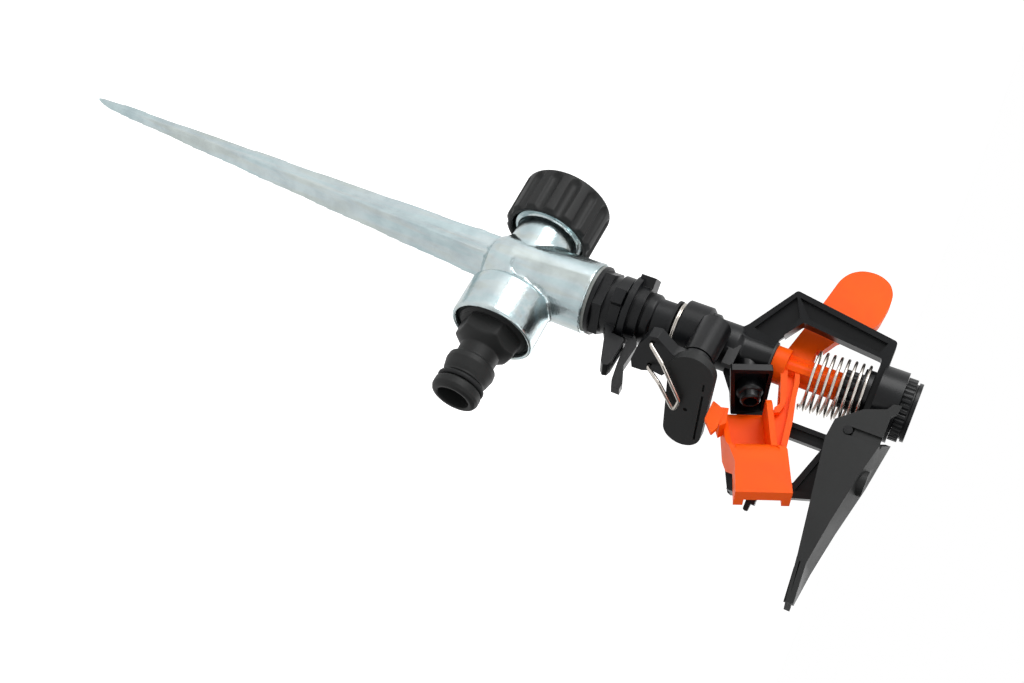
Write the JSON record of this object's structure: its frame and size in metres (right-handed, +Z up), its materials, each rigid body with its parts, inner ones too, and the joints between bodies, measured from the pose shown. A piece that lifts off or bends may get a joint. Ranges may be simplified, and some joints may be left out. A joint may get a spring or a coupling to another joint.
{
  "type": "impulse sprinkler",
  "caption": "Impulse garden sprinkler on a cast ground spike: hose nipple, capped through port, trip collars, turning head with bridge, sprung orange arm, spoon, flap and knob.",
  "frame": {"origin": "on the main axis at the spike's shoulder, the soil line when the spike is pushed in", "axes": "+Z up along the main axis that the head turns on, +X out of the hose inlet, -X out of the capped through port"},
  "size_m": [0.1232, 0.0452, 0.3218],
  "materials": {
    "zinc": "bright satin zinc casting",
    "black_matt": "matt moulded",
    "black_satin": "satin moulded",
    "orange": "satin moulded",
    "stainless": "drawn bright wire",
    "seal": "matt",
    "fibre": "matt",
    "washer_plastic": "matt"
  },
  "bodies": {
    "base": {"spike_base": "zinc", "inlet_nipple": "black_matt", "nipple_gasket": "seal", "nipple_o_ring": "seal", "riser_washer": "fibre", "bearing_nut": "black_satin", "bearing_sleeve": "black_satin"},
    "head": {"head_body": "black_satin", "nozzle": "black_satin", "spindle_tube": "black_satin", "bearing_washers": "washer_plastic", "sand_seal": "stainless", "bearing_spring": "stainless", "arm_shaft": "stainless", "arm_washer": "stainless", "spring_seat": "black_satin", "flap_pin": "black_satin"},
    "arm": {"swing_arm": "orange", "arm_spring": "stainless"},
    "lower_collar": {"lower_trip_collar": "black_satin"},
    "upper_collar": {"upper_trip_collar": "black_satin"},
    "cap": {"end_cap": "black_matt", "end_cap_washer": "seal"},
    "knob": {"adjusting_knob": "black_satin"},
    "flap": {"deflector_flap": "black_matt"},
    "pawl": {"reversing_pawl": "black_matt"},
    "lever": {"trip_lever": "black_satin", "trip_wire": "stainless"}
  },
  "joints": [
    {"name": "head_spin", "type": "hinge", "parent": "base", "child": "head", "pos_m": [0, 0, 0.06], "axis": [0, 0, 1], "continuous": true},
    {"name": "arm_swing", "type": "hinge", "parent": "head", "child": "arm", "pos_m": [0, 0, 0.105], "axis": [0, 0, 1], "range_deg": [-100, 0], "stiffness_Nm_per_rad": 0.01, "springref_deg": 34.38},
    {"name": "lower_collar_turn", "type": "hinge", "parent": "base", "child": "lower_collar", "pos_m": [0, 0, 0.05], "axis": [0, 0, 1], "continuous": true},
    {"name": "upper_collar_turn", "type": "hinge", "parent": "base", "child": "upper_collar", "pos_m": [0, 0, 0.055], "axis": [0, 0, 1], "continuous": true},
    {"name": "cap_turn", "type": "hinge", "parent": "base", "child": "cap", "pos_m": [-0.025, 0, 0.015], "axis": [1, 0, 0], "continuous": true},
    {"name": "knob_turn", "type": "hinge", "parent": "head", "child": "knob", "pos_m": [0, 0, 0.144], "axis": [0, 0, 1], "range_deg": [0, 180]},
    {"name": "flap_tilt", "type": "hinge", "parent": "head", "child": "flap", "pos_m": [0.01763, 0.00248, 0.1321], "axis": [-0.1392, 0.9903, 0], "range_deg": [0, 8]},
    {"name": "trip_lever_kick", "type": "hinge", "parent": "head", "child": "lever", "pos_m": [-0.00242, -0.0097, 0.0832], "axis": [0.9703, -0.2419, 0], "range_deg": [0, 14]},
    {"name": "pawl_rock", "type": "hinge", "parent": "head", "child": "pawl", "pos_m": [-0.00242, -0.0097, 0.0832], "axis": [0.9703, -0.2419, 0], "range_deg": [0, 4]}
  ],
  "couplings": [
    {"joint": "flap_tilt", "follows": "knob_turn", "ratio": 0.044444},
    {"joint": "pawl_rock", "follows": "trip_lever_kick", "ratio": 0.2857}
  ]
}
